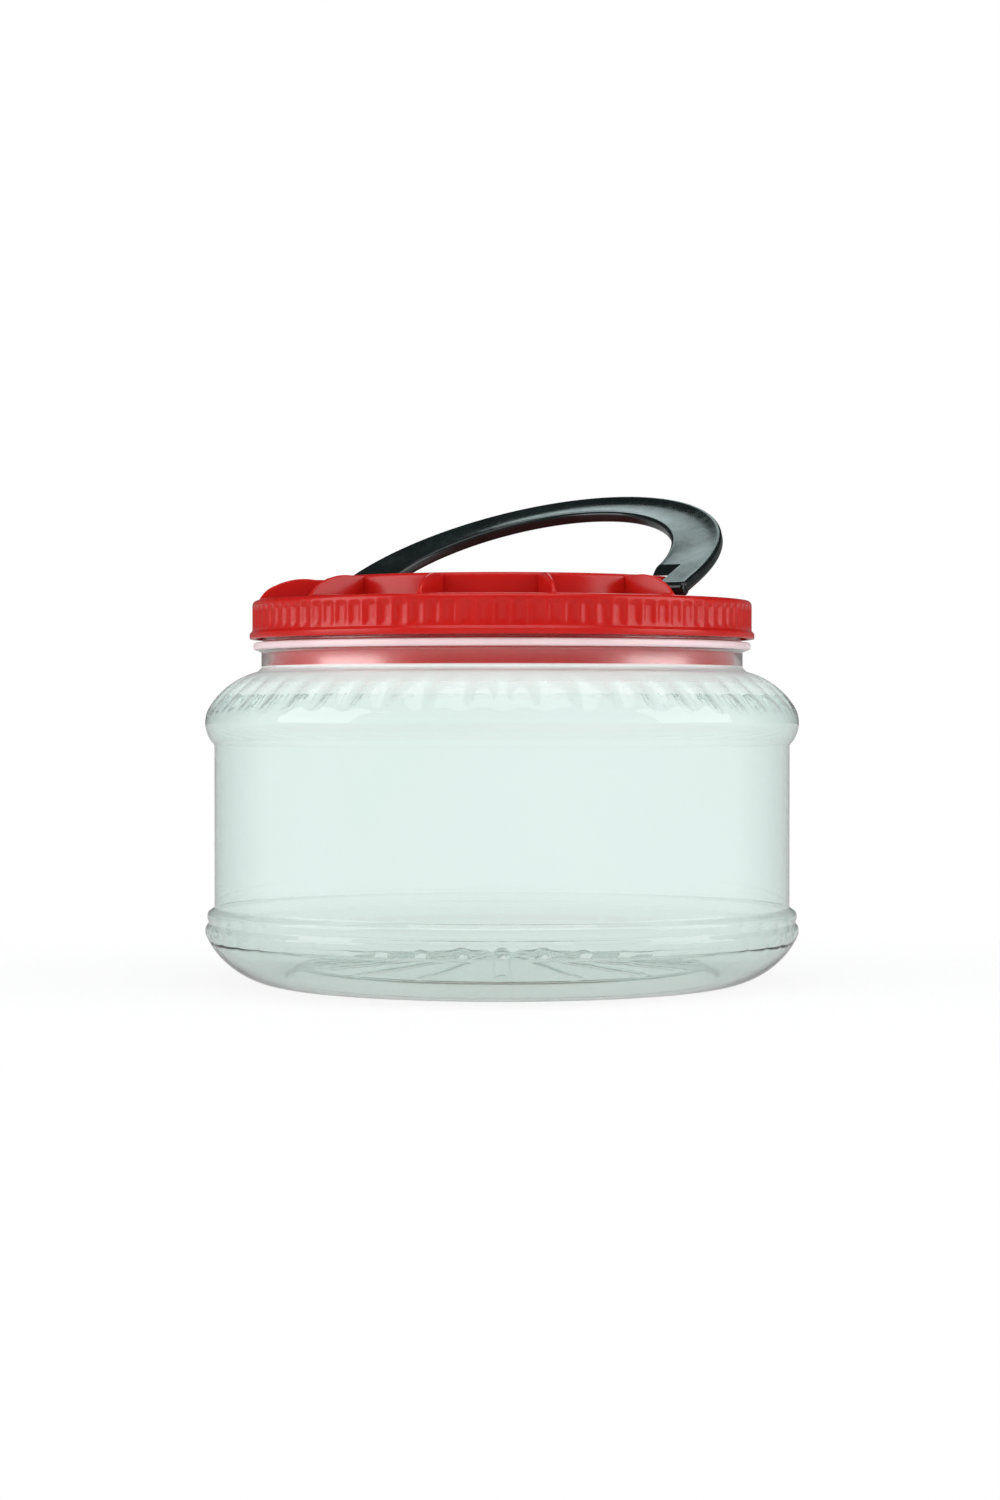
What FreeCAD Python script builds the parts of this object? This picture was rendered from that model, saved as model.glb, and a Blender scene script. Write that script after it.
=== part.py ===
import FreeCAD
import Part
import Sketcher
import math
import os

# Wide-mouth clear jar with a fluted shoulder, a screw lid with grip fins and a swing handle.
# Frame: origin on the jar's axis in the plane it stands on, +Z up, -Y towards the viewer.
# Every length is in millimetres and every angle in degrees. Heights are stacked from the base
# up and radii are built outwards, so a piece that fits another follows it when a size changes.

DRIVING_SIZES = [
    # jar body, from the base up
    ("jar_wall", 1.0),
    ("panel_radius", 85.3),
    ("standing_inset", 18.3),
    ("standing_width", 2.4),
    ("push_up_foot", 4.0),
    ("push_up_step", 3.4),
    ("push_up_rise", 8.6),
    ("heel_tall", 13.2),
    ("heel_stand", 1.9),
    ("heel_curve", 26.0),
    ("low_bead_tall", 5.2),
    ("low_bead_stand", 2.7),
    ("low_bead_flat", 2.0),
    ("bead_nip_stand", 1.7),
    ("ring_bead_tall", 4.4),
    ("ring_bead_stand", 2.1),
    ("ring_bead_flat", 1.6),
    ("panel_tall", 48.0),
    ("shoulder_bead_tall", 12.1),
    ("shoulder_bead_stand", 0.9),
    ("shoulder_bead_curve", 9.3),
    ("shoulder_tall", 9.5),
    ("shoulder_curve", 23.0),
    ("outer_chords", 5),
    ("inner_chords", 3),
    # flutes pressed into the shoulder
    ("flute_count", 48),
    ("flute_radius", 6.0),
    ("flute_deep", 1.2),
    ("flute_length_share", 1.04),
    ("flute_inset_share", 0.228),
    ("flute_rise_share", 0.39),
    ("flute_slope", 46.0),
    # jar neck
    ("shoulder_width", 13.9),
    ("neck_wall", 1.6),
    ("neck_root", 1.2),
    ("neck_tall", 6.6),
    ("flange_stand", 2.4),
    ("flange_thick", 2.0),
    ("finish_step", 0.5),
    ("finish_tall", 9.4),
    # seal between the jar's rim and the lid
    ("seal_thick", 1.2),
    ("seal_gap", 0.3),
    # lid
    ("lid_gap", 1.0),
    ("thread_room", 1.8),
    ("skirt_wall", 1.4),
    ("lip_width", 0.8),
    ("lip_tall", 1.6),
    ("skirt_corner", 1.6),
    ("lid_wall", 1.8),
    ("ledge_width", 20.6),
    ("disc_tall", 6.6),
    ("disc_draft", 0.5),
    ("disc_edge", 1.2),
    ("dish_margin", 10.5),
    ("dish_deep", 0.6),
    ("plug_gap", 0.4),
    ("plug_wall", 1.6),
    ("plug_deep", 18.5),
    ("fin_thick", 1.2),
    ("fin_margin", 1.5),
    ("fin_flat", 2.5),
    ("fin_pitch", 30.0),
    ("fin_count", 6),
    ("knurl_count", 96),
    ("knurl_width", 2.4),
    ("knurl_deep", 0.45),
    ("knurl_margin", 0.6),
    # handle and its sockets in the lid
    ("handle_turn", -33.5),
    ("handle_lean", 64.4),
    ("socket_cover", 2.32),
    ("peg_radius", 1.6),
    ("peg_play", 0.08),
    ("peg_length", 5.0),
    ("socket_spare", 0.5),
    ("boss_wall", 1.1),
    ("boss_length", 7.0),
    ("ear_gap", 1.0),
    ("ear_width", 8.9),
    ("rest_gap", 0.4),
    ("strap_thick", 3.4),
    ("strap_side", 16.7),
    ("strap_crown", 13.7),
    ("outer_rise", 7.8),
    ("hub_clearance", 0.5),
    ("hub_inset", 0.3),
    ("channel_margin", 2.6),
    ("channel_deep", 0.8),
]


class Size:
    """A number with the spreadsheet expression that gives it."""

    def __init__(self, value, text):
        self.value = float(value)
        self.text = text

    def join(self, other, sign, value):
        other_text = other.text if isinstance(other, Size) else repr(other)
        return Size(value, "(%s %s %s)" % (self.text, sign, other_text))

    def __add__(self, other):
        return self.join(other, "+", self.value + number(other))

    def __sub__(self, other):
        return self.join(other, "-", self.value - number(other))

    def __mul__(self, other):
        return self.join(other, "*", self.value * number(other))

    def __truediv__(self, other):
        return self.join(other, "/", self.value / number(other))

    def __neg__(self):
        return Size(-self.value, "(0 - %s)" % self.text)


def number(item):
    """The plain number in a Size, or the number itself."""
    return item.value if isinstance(item, Size) else float(item)


def cosine(angle):
    return Size(math.cos(math.radians(angle.value)), "cos(%s)" % angle.text)


def sine(angle):
    return Size(math.sin(math.radians(angle.value)), "sin(%s)" % angle.text)


ZERO = Size(0, "0")


class Sizes:
    """The driving sizes, one for each alias of the sheet, and the places built from them."""

    def __init__(self, doc):
        sheet = doc.addObject("Spreadsheet::Sheet", "Sizes")
        for row, (alias, value) in enumerate(DRIVING_SIZES, start=1):
            sheet.set("A%d" % row, alias)
            sheet.set("B%d" % row, str(value))
            sheet.setAlias("B%d" % row, alias)
            setattr(self, alias, Size(value, "Sizes." + alias))
        doc.recompute()
        self.stack_jar()
        self.stack_lid()
        self.place_handle()

    def stack_jar(self):
        """Heights from the base up to the rim, and the radii that go with them."""
        self.nip_height = self.heel_tall + self.low_bead_tall
        self.panel_low = self.nip_height + self.ring_bead_tall
        self.panel_high = self.panel_low + self.panel_tall
        self.bead_top = self.panel_high + self.shoulder_bead_tall
        self.shoulder_high = self.bead_top + self.shoulder_tall
        self.flange_low = self.shoulder_high + self.neck_tall
        self.flange_high = self.flange_low + self.flange_thick
        self.rim_height = self.flange_high + self.finish_tall
        self.standing_radius = self.panel_radius - self.standing_inset
        self.push_up_edge = self.standing_radius - self.standing_width
        self.push_up_inner = self.push_up_edge - self.push_up_step
        self.bead_top_radius = self.panel_radius + self.shoulder_bead_stand
        self.neck_radius = self.panel_radius - self.shoulder_width
        self.shoulder_run = self.bead_top_radius - self.neck_radius - self.neck_root
        self.flange_radius = self.neck_radius + self.flange_stand
        self.finish_radius = self.neck_radius - self.finish_step
        self.bore_radius = self.finish_radius - self.neck_wall

    def stack_lid(self):
        """The lid's heights above the jar's flange and rim, and its radii outside the finish."""
        self.skirt_foot = self.flange_high + self.lid_gap
        self.lip_top = self.skirt_foot + self.lip_tall
        self.seat_height = self.rim_height + self.seal_thick
        self.ledge_height = self.seat_height + self.lid_wall
        self.disc_top = self.ledge_height + self.disc_tall
        self.skirt_inner = self.finish_radius + self.thread_room
        self.skirt_radius = self.skirt_inner + self.skirt_wall
        self.disc_radius = self.skirt_radius - self.ledge_width
        self.plug_radius = self.bore_radius - self.plug_gap

    def place_handle(self):
        """The handle's pivot, its strap's inner and outer arches, and the ears that carry it.

        At rest the strap lies on the edge of the raised disc. Only its ears reach down past it.
        """
        self.socket_radius = self.peg_radius + self.peg_play
        self.pivot_rise = self.disc_tall - self.socket_cover - self.socket_radius
        self.pivot_height = self.ledge_height + self.pivot_rise
        self.hub_radius = self.pivot_rise - self.hub_clearance
        self.ear_inner = self.disc_radius + self.ear_gap
        self.strap_outer = self.ear_inner + self.ear_width
        self.strap_inner = self.strap_outer - self.strap_side
        self.inner_rise = self.outer_rise + self.strap_side - self.strap_crown
        above_pivot = self.disc_tall - self.pivot_rise + self.rest_gap
        self.rest_slope = sine(self.handle_lean) / cosine(self.handle_lean)
        self.rest_edge = above_pivot / cosine(self.handle_lean)
        self.channel_foot = (self.rest_edge + self.rest_slope * (self.strap_thick / 2)
                             + self.channel_margin)


def plane(body, role):
    """The body's own origin plane or axis with this role."""
    for feature in body.Origin.OriginFeatures:
        if feature.Role == role:
            return feature
    raise RuntimeError("no origin feature " + role)


def new_body(doc, name):
    body = doc.addObject("PartDesign::Body", name)
    body.Label = name
    return body


def new_sketch(body, name, role, offset=None, turn=None):
    """A sketch on an origin plane, moved along its normal or turned about its upright."""
    sketch = body.newObject("Sketcher::SketchObject", name)
    sketch.AttachmentSupport = [(plane(body, role), "")]
    sketch.MapMode = "FlatFace"
    if offset is not None:
        sketch.setExpression("AttachmentOffset.Base.z", offset.text)
    if turn is not None:
        rotation = FreeCAD.Rotation(FreeCAD.Vector(0, 1, 0), turn.value)
        sketch.AttachmentOffset = FreeCAD.Placement(FreeCAD.Vector(), rotation)
        sketch.setExpression("AttachmentOffset.Rotation.Angle", turn.text)
    return sketch


class Arc:
    """How an outline leaves a corner: on an arc, whole or as a number of equal chords."""

    def __init__(self, radius, side, chords=None):
        self.radius = radius
        self.side = side
        self.chords = chords

    def centre(self, start, end):
        """The centre of the minor arc that bulges to side: +1 left of the way, -1 right."""
        chord = end - start
        half = chord.Length / 2
        normal = FreeCAD.Vector(-chord.y, chord.x, 0).normalize() * self.side
        reach = math.sqrt(max(self.radius.value ** 2 - half ** 2, 0))
        return (start + end) * 0.5 - normal * reach

    def points(self, start, end):
        """Points that part the arc equally, from start to end."""
        centre = self.centre(start, end)
        steps = int(self.chords.value) if self.chords else 2
        first = start - centre
        last = end - centre
        turn = math.atan2(first.x * last.y - first.y * last.x, first * last)
        places = [start]
        for step in range(1, steps):
            part = FreeCAD.Rotation(FreeCAD.Vector(0, 0, 1), math.degrees(turn) * step / steps)
            places.append(centre + part.multVec(first))
        return places + [end]


def hold(sketch, constraint, size):
    """Adds a dimension to the sketch and ties it to its size."""
    index = sketch.addConstraint(constraint)
    sketch.setExpression("Constraints[%d]" % index, size.text)


def fix_point(sketch, geometry, end, place):
    """Holds one point of an edge at a place given by two Sizes."""
    for kind, axis, size in (("DistanceX", -2, place[0]), ("DistanceY", -1, place[1])):
        if size is ZERO:
            sketch.addConstraint(Sketcher.Constraint("PointOnObject", geometry, end, axis))
        else:
            hold(sketch, Sketcher.Constraint(kind, geometry, end, size.value), size)


def draw_arc(sketch, arc, start, end):
    """A true arc. Returns its first and last (edge, point)."""
    points = arc.points(start, end)
    edge = sketch.addGeometry(Part.Arc(*points), False)
    hold(sketch, Sketcher.Constraint("Radius", edge, arc.radius.value), arc.radius)
    forward = sketch.getPoint(edge, 1).distanceToPoint(start) < 1e-6
    return ((edge, 1), (edge, 2)) if forward else ((edge, 2), (edge, 1))


def draw_chords(sketch, arc, start, end):
    """Equal chords whose ends lie on a construction arc. Returns the first and last point."""
    points = arc.points(start, end)
    centre = arc.centre(start, end)
    circle = Part.Circle(centre, FreeCAD.Vector(0, 0, 1), arc.radius.value)
    guide = sketch.addGeometry(circle, True)
    hold(sketch, Sketcher.Constraint("Radius", guide, arc.radius.value), arc.radius)
    edges = []
    for near, far in zip(points, points[1:]):
        edges.append(sketch.addGeometry(Part.LineSegment(near, far), False))
    for before, after in zip(edges, edges[1:]):
        sketch.addConstraint(Sketcher.Constraint("Coincident", before, 2, after, 1))
        sketch.addConstraint(Sketcher.Constraint("Equal", before, after))
    for edge in edges:
        sketch.addConstraint(Sketcher.Constraint("PointOnObject", edge, 1, guide))
    sketch.addConstraint(Sketcher.Constraint("PointOnObject", edges[-1], 2, guide))
    return (edges[0], 1), (edges[-1], 2)


def draw_outline(sketch, corners):
    """A closed outline. A corner is (x, y), or (x, y, Arc) where an arc leaves it."""
    points = [FreeCAD.Vector(corner[0].value, corner[1].value, 0) for corner in corners]
    ends = []
    for index, corner in enumerate(corners):
        start = points[index]
        end = points[(index + 1) % len(corners)]
        if len(corner) == 2:
            edge = sketch.addGeometry(Part.LineSegment(start, end), False)
            ends.append(((edge, 1), (edge, 2)))
        elif corner[2].chords:
            ends.append(draw_chords(sketch, corner[2], start, end))
        else:
            ends.append(draw_arc(sketch, corner[2], start, end))
    for index, (first, last) in enumerate(ends):
        following = ends[(index + 1) % len(ends)][0]
        sketch.addConstraint(Sketcher.Constraint("Coincident", *last, *following))
        fix_point(sketch, first[0], first[1], corners[index])


def draw_circle(sketch, x, y, radius):
    place = FreeCAD.Vector(x.value, y.value, 0)
    circle = Part.Circle(place, FreeCAD.Vector(0, 0, 1), radius.value)
    edge = sketch.addGeometry(circle, False)
    fix_point(sketch, edge, 3, (x, y))
    hold(sketch, Sketcher.Constraint("Radius", edge, radius.value), radius)


def revolve(body, name, sketch):
    feature = body.newObject("PartDesign::Revolution", name)
    feature.Profile = sketch
    feature.ReferenceAxis = (sketch, ["V_Axis"])
    feature.Angle = 360
    body.Tip = feature
    return feature


def extrude(body, name, kind, sketch, length):
    """A pad or pocket that reaches half its length to each side of the sketch."""
    feature = body.newObject(kind, name)
    feature.Profile = sketch
    feature.SideType = "Symmetric"
    feature.setExpression("Length", length.text)
    body.Tip = feature
    return feature


def polar(body, name, feature, count, angle=None):
    """Copies a feature round the body's upright axis, over 360 degrees or a stated angle."""
    pattern = body.newObject("PartDesign::PolarPattern", name)
    pattern.Originals = [feature]
    pattern.Axis = (plane(body, "Z_Axis"), [""])
    pattern.setExpression("Occurrences", count.text)
    pattern.Angle = 360
    if angle is not None:
        pattern.setExpression("Angle", angle.text)
    body.Tip = pattern


def mirror(body, name, features):
    """Copies features to the other side of the body's YZ plane."""
    copy = body.newObject("PartDesign::Mirrored", name)
    copy.Originals = features
    copy.MirrorPlane = (plane(body, "YZ_Plane"), [""])
    body.Tip = copy


def bead_crest(radius, middle, flat):
    """The two corners of a bead's flat crest, the lower one first."""
    return [(radius, middle - flat / 2), (radius, middle + flat / 2)]


def beads_above_heel(at, inset):
    """The corners of the two beads from the heel up to the panel, moved in by the inset."""
    skin = at.panel_radius - inset
    corners = [(skin + at.heel_stand, at.heel_tall)]
    low_middle = at.heel_tall + at.low_bead_tall / 2
    corners += bead_crest(skin + at.low_bead_stand, low_middle, at.low_bead_flat)
    corners += [(skin + at.bead_nip_stand, at.nip_height)]
    ring_middle = at.nip_height + at.ring_bead_tall / 2
    corners += bead_crest(skin + at.ring_bead_stand, ring_middle, at.ring_bead_flat)
    corners += [(skin, at.panel_low)]
    return corners


def jar_outside(at):
    """Half of the jar's outer form, from the rim down to the base, closed along its axis."""
    chords = at.outer_chords
    neck = [
        (ZERO, at.rim_height),
        (at.finish_radius, at.rim_height),
        (at.finish_radius, at.flange_high),
        (at.flange_radius, at.flange_high),
        (at.flange_radius, at.flange_low),
        (at.neck_radius, at.flange_low - at.neck_wall / 2),
        (at.neck_radius, at.shoulder_high + at.neck_root),
    ]
    shoulder = [
        (at.neck_radius + at.neck_root, at.shoulder_high, Arc(at.shoulder_curve, 1, chords)),
        (at.bead_top_radius, at.bead_top, Arc(at.shoulder_bead_curve, 1, chords)),
        (at.panel_radius, at.panel_high),
    ]
    beads = list(reversed(beads_above_heel(at, ZERO)))
    beads[-1] = beads[-1] + (Arc(at.heel_curve, 1, chords),)
    base = [
        (at.standing_radius, ZERO),
        (at.push_up_edge, ZERO),
        (at.push_up_inner, at.push_up_foot),
        (ZERO, at.push_up_rise),
    ]
    return neck + shoulder + beads + base


def jar_inside(at):
    """Half of the space in the jar: the outer form less the wall, running out through the rim."""
    wall = at.jar_wall
    above_rim = at.rim_height + wall
    chords = at.inner_chords
    base = [
        (ZERO, above_rim),
        (ZERO, at.push_up_rise + wall),
        (at.push_up_inner + wall / 2, at.push_up_foot + wall),
        (at.push_up_edge + wall / 2, wall),
        (at.standing_radius, wall, Arc(at.heel_curve - wall, -1, chords)),
    ]
    shoulder = [
        (at.panel_radius - wall, at.panel_high, Arc(at.shoulder_bead_curve, -1, chords)),
        (at.bead_top_radius - wall, at.bead_top - wall / 2, Arc(at.shoulder_curve - wall, -1, chords)),
        (at.neck_radius + at.neck_root, at.shoulder_high - wall),
        (at.bore_radius, at.shoulder_high + wall),
        (at.bore_radius, above_rim),
    ]
    return base + beads_above_heel(at, wall) + shoulder


def press_flutes(body, at, name, grow):
    """The shoulder's ring of flutes, each cut by a leaning cylinder. Inside, it grows by the wall."""
    stand_off = at.flute_radius - at.flute_deep
    length = (at.shoulder_run + at.shoulder_tall) * at.flute_length_share
    out = (cosine(at.flute_slope), sine(at.flute_slope))
    middle = (
        at.bead_top_radius - at.shoulder_run * at.flute_inset_share,
        at.bead_top + at.shoulder_tall * at.flute_rise_share,
    )
    foot_x = middle[0] + stand_off * out[0] + length / 2 * out[1]
    foot_z = middle[1] + stand_off * out[1] - length / 2 * out[0]
    lean = at.flute_slope - 90
    tool = body.newObject("PartDesign::SubtractiveCylinder", name)
    tool.AttachmentSupport = [(plane(body, "XY_Plane"), "")]
    tool.MapMode = "FlatFace"
    turn = FreeCAD.Rotation(FreeCAD.Vector(0, 1, 0), lean.value)
    tool.AttachmentOffset = FreeCAD.Placement(FreeCAD.Vector(foot_x.value, 0, foot_z.value), turn)
    tool.setExpression("AttachmentOffset.Base.x", foot_x.text)
    tool.setExpression("AttachmentOffset.Base.z", foot_z.text)
    tool.setExpression("AttachmentOffset.Rotation.Angle", lean.text)
    tool.setExpression("Radius", (at.flute_radius + grow).text)
    tool.setExpression("Height", length.text)
    body.Tip = tool
    polar(body, name + "_ring", tool, at.flute_count)


def make_cavity(doc, at):
    """The space inside the jar, with the backs of the flutes standing into it."""
    body = new_body(doc, "jar_cavity")
    section = new_sketch(body, "cavity_section", "XZ_Plane")
    draw_outline(section, jar_inside(at))
    revolve(body, "cavity_turned", section)
    press_flutes(body, at, "flute_back", at.jar_wall)
    return body


def make_jar(doc, at):
    """The blow-moulded jar: neck with support flange, fluted shoulder, beads, panel and heel."""
    cavity = make_cavity(doc, at)
    body = new_body(doc, "jar")
    section = new_sketch(body, "jar_section", "XZ_Plane")
    draw_outline(section, jar_outside(at))
    revolve(body, "jar_turned", section)
    press_flutes(body, at, "flute", ZERO)
    hollow = body.newObject("PartDesign::Boolean", "jar_hollow")
    hollow.Type = "Cut"
    hollow.setObjects([cavity])
    body.Tip = hollow
    return body


def make_seal(doc, at):
    """The foam ring that the lid presses on the jar's rim."""
    body = new_body(doc, "seal_ring")
    inner = at.plug_radius + at.seal_gap
    outer = at.skirt_inner - at.seal_gap
    section = new_sketch(body, "seal_section", "XZ_Plane")
    draw_outline(section, [
        (inner, at.rim_height),
        (outer, at.rim_height),
        (outer, at.seat_height),
        (inner, at.seat_height),
    ])
    revolve(body, "seal_turned", section)
    return body


def lid_outline(at):
    """The half section of the lid: up the skirt, over the ledge and disc, back under them."""
    lip = at.skirt_radius + at.lip_width
    crest = at.disc_radius - at.disc_draft
    dish = at.disc_radius - at.dish_margin
    dish_top = at.disc_top - at.dish_deep
    under_dish = dish_top - at.lid_wall
    plug_inner = at.plug_radius - at.plug_wall
    plug_foot = at.seat_height - at.plug_deep
    outside = [
        (at.skirt_inner, at.skirt_foot),
        (lip, at.skirt_foot),
        (lip, at.lip_top),
        (at.skirt_radius, at.lip_top + at.lip_width),
        (at.skirt_radius, at.ledge_height - at.skirt_corner),
        (at.skirt_radius - at.skirt_corner, at.ledge_height),
        (at.disc_radius, at.ledge_height),
        (crest, at.disc_top - at.disc_edge),
        (crest - at.disc_edge, at.disc_top),
        (dish, at.disc_top),
        (dish - at.dish_deep, dish_top),
        (ZERO, dish_top),
    ]
    inside = [
        (ZERO, under_dish),
        (crest - at.lid_wall, under_dish),
        (at.disc_radius - at.lid_wall, at.seat_height),
        (plug_inner, at.seat_height),
        (plug_inner, plug_foot),
        (at.plug_radius - at.plug_wall / 2, plug_foot),
        (at.plug_radius, plug_foot + at.plug_wall / 2),
        (at.plug_radius, at.seat_height),
        (at.skirt_inner, at.seat_height),
    ]
    return outside + inside


def add_fins(body, at):
    """Thin grip fins that run down from the raised disc to the edge of the front ledge."""
    reach = at.skirt_radius - at.fin_margin
    crest = at.disc_radius + at.fin_flat
    rise = at.disc_tall - at.disc_edge / 2
    root = at.disc_radius - at.lid_wall / 2
    sunk = at.ledge_height - at.lid_wall / 2
    sweep = reach - crest
    sketch = new_sketch(body, "fin_outline", "XZ_Plane", turn=at.fin_pitch / 2 + 180)
    draw_outline(sketch, [
        (root, sunk),
        (reach, sunk),
        (reach, at.ledge_height, Arc(sweep * 0.5, -1)),
        (crest + sweep * 0.72, at.ledge_height + rise * 0.7, Arc(sweep * 1.2, -1)),
        (crest, at.ledge_height + rise),
        (root, at.ledge_height + rise),
    ])
    fin = extrude(body, "fin", "PartDesign::Pad", sketch, at.fin_thick)
    polar(body, "fins", fin, at.fin_count, at.fin_pitch * (at.fin_count - 1))


def add_sockets(body, at):
    """Two bosses inside the raised disc, each with a blind hole for a handle peg."""
    face = at.disc_radius - at.disc_draft - at.lid_wall / 2
    boss_sketch = new_sketch(body, "boss_circle", "YZ_Plane", offset=face - at.boss_length / 2)
    draw_circle(boss_sketch, ZERO, at.pivot_height, at.socket_radius + at.boss_wall)
    boss = extrude(body, "boss", "PartDesign::Pad", boss_sketch, at.boss_length)
    mirror(body, "boss_pair", [boss])
    depth = at.peg_length + at.socket_spare
    socket_sketch = new_sketch(body, "socket_circle", "YZ_Plane", offset=at.ear_inner - depth / 2)
    draw_circle(socket_sketch, ZERO, at.pivot_height, at.socket_radius)
    socket = extrude(body, "socket", "PartDesign::Pocket", socket_sketch, depth)
    mirror(body, "socket_pair", [socket])


def add_knurl(body, at):
    """Shallow upright grooves with sloping sides all round the skirt."""
    low = at.lip_top + at.lip_width + at.knurl_margin
    high = at.ledge_height - at.skirt_corner - at.knurl_margin
    sketch = new_sketch(body, "knurl_notch", "XY_Plane", offset=(low + high) / 2)
    mouth = at.skirt_radius + at.knurl_deep
    floor = at.skirt_radius - at.knurl_deep
    draw_outline(sketch, [
        (floor, -at.knurl_width / 4),
        (mouth, -at.knurl_width * 0.75),
        (mouth, at.knurl_width * 0.75),
        (floor, at.knurl_width / 4),
    ])
    notch = extrude(body, "knurl_groove", "PartDesign::Pocket", sketch, high - low)
    polar(body, "knurl", notch, at.knurl_count)


def make_lid(doc, at):
    """The moulded screw lid, drawn with its sockets on X and turned to the handle's axis."""
    body = new_body(doc, "lid")
    section = new_sketch(body, "lid_section", "XZ_Plane")
    draw_outline(section, lid_outline(at))
    revolve(body, "lid_shell", section)
    add_fins(body, at)
    add_sockets(body, at)
    add_knurl(body, at)
    turn = FreeCAD.Rotation(FreeCAD.Vector(0, 0, 1), at.handle_turn.value)
    body.Placement = FreeCAD.Placement(FreeCAD.Vector(0, 0, 0), turn)
    body.setExpression("Placement.Rotation.Angle", at.handle_turn.text)
    return body


def draw_bow(sketch, radius, rise, foot):
    """The part of a circle above the foot line, centred on the strap's middle line."""
    centre = FreeCAD.Vector(0, rise.value, 0)
    circle = Part.Circle(centre, FreeCAD.Vector(0, 0, 1), radius.value)
    start = math.asin((foot.value - rise.value) / radius.value)
    edge = sketch.addGeometry(Part.ArcOfCircle(circle, start, math.pi - start), False)
    fix_point(sketch, edge, 3, (ZERO, rise))
    hold(sketch, Sketcher.Constraint("Radius", edge, radius.value), radius)
    for end in (1, 2):
        hold(sketch, Sketcher.Constraint("DistanceY", edge, end, foot.value), foot)
    return edge


def draw_side(sketch, bow, end):
    """An upright side from one end of a bow down to the pivot's axis."""
    high = sketch.getPoint(bow, end)
    side = sketch.addGeometry(Part.LineSegment(FreeCAD.Vector(high.x, 0, 0), high), False)
    sketch.addConstraint(Sketcher.Constraint("Vertical", side))
    sketch.addConstraint(Sketcher.Constraint("Coincident", side, 2, bow, end))
    return side


def join_points(sketch, outer, inner):
    """A straight edge from a point of the outer run to the one beside it of the inner run."""
    ends = [sketch.getPoint(*point) for point in (outer, inner)]
    edge = sketch.addGeometry(Part.LineSegment(*ends), False)
    sketch.addConstraint(Sketcher.Constraint("Coincident", edge, 1, *outer))
    sketch.addConstraint(Sketcher.Constraint("Coincident", edge, 2, *inner))
    return edge


def draw_strap(sketch, at):
    """The strap's outline: two half circles with upright sides, closed at both feet."""
    outer = draw_bow(sketch, at.strap_outer, at.outer_rise, at.outer_rise)
    inner = draw_bow(sketch, at.strap_inner, at.inner_rise, at.inner_rise)
    for end in (1, 2):
        outside = draw_side(sketch, outer, end)
        inside = draw_side(sketch, inner, end)
        foot = join_points(sketch, (outside, 1), (inside, 1))
        sketch.addConstraint(Sketcher.Constraint("Horizontal", foot))
        sketch.addConstraint(Sketcher.Constraint("PointOnObject", foot, 1, -1))


def draw_channel(sketch, at):
    """The channel's outline, inside the strap's edges and closed above both ears."""
    foot = at.channel_foot
    outer = draw_bow(sketch, at.strap_outer - at.channel_margin, at.outer_rise, foot)
    inner = draw_bow(sketch, at.strap_inner + at.channel_margin, at.inner_rise, foot)
    for end in (1, 2):
        join_points(sketch, (outer, end), (inner, end))


def cut_between_ears(body, at):
    """Clears the raised disc: between the ears the strap ends in two sloping resting faces."""
    foot = -at.strap_thick
    mouth = at.rest_edge + at.rest_slope * at.strap_thick
    sketch = new_sketch(body, "rest_notch", "YZ_Plane")
    draw_outline(sketch, [
        (foot, -at.strap_thick),
        (mouth, -at.strap_thick),
        (at.rest_edge, ZERO),
        (mouth, at.strap_thick),
        (foot, at.strap_thick),
    ])
    extrude(body, "ears", "PartDesign::Pocket", sketch, at.ear_inner * 2)


def add_feet(body, at):
    """A round hub and a peg at the foot of each ear, on the pivot's axis."""
    hub_length = at.ear_width - at.hub_inset * 2
    ear_middle = (at.ear_inner + at.strap_outer) / 2
    hub_sketch = new_sketch(body, "hub_circle", "YZ_Plane", offset=ear_middle)
    draw_circle(hub_sketch, ZERO, ZERO, at.hub_radius)
    hub = extrude(body, "hub", "PartDesign::Pad", hub_sketch, hub_length)
    peg_span = at.peg_length + at.ear_width / 2
    peg_sketch = new_sketch(body, "peg_circle", "YZ_Plane", offset=ear_middle - peg_span / 2)
    draw_circle(peg_sketch, ZERO, ZERO, at.peg_radius)
    peg = extrude(body, "peg", "PartDesign::Pad", peg_sketch, peg_span)
    mirror(body, "foot_pair", [hub, peg])


def make_handle(doc, at):
    """The swing handle: a flat arched strap with a shallow channel, ears, hubs and pegs."""
    body = new_body(doc, "handle")
    outline = new_sketch(body, "strap_outline", "XY_Plane")
    draw_strap(outline, at)
    extrude(body, "strap", "PartDesign::Pad", outline, at.strap_thick)
    cut_between_ears(body, at)
    channel = new_sketch(body, "channel_outline", "XY_Plane", offset=at.strap_thick / 2)
    draw_channel(channel, at)
    extrude(body, "channel", "PartDesign::Pocket", channel, at.channel_deep * 2)
    add_feet(body, at)
    turn = FreeCAD.Rotation(FreeCAD.Vector(0, 0, 1), at.handle_turn.value)
    raised = FreeCAD.Rotation(FreeCAD.Vector(1, 0, 0), 90 - at.handle_lean.value)
    pivot = FreeCAD.Vector(0, 0, at.pivot_height.value)
    body.Placement = FreeCAD.Placement(pivot, turn.multiply(raised))
    body.setExpression("Placement.Base.z", at.pivot_height.text)
    return body


def check(doc, bodies):
    """Stops if any object failed to recompute or any sub-part is not one valid solid."""
    for item in doc.Objects:
        if "Invalid" in item.State or "Error" in item.State:
            raise RuntimeError("failed: " + item.Name)
    for body in bodies:
        shape = body.Shape
        if shape.isNull() or not shape.isValid() or len(shape.Solids) != 1:
            raise RuntimeError("bad shape: " + body.Label)


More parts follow.
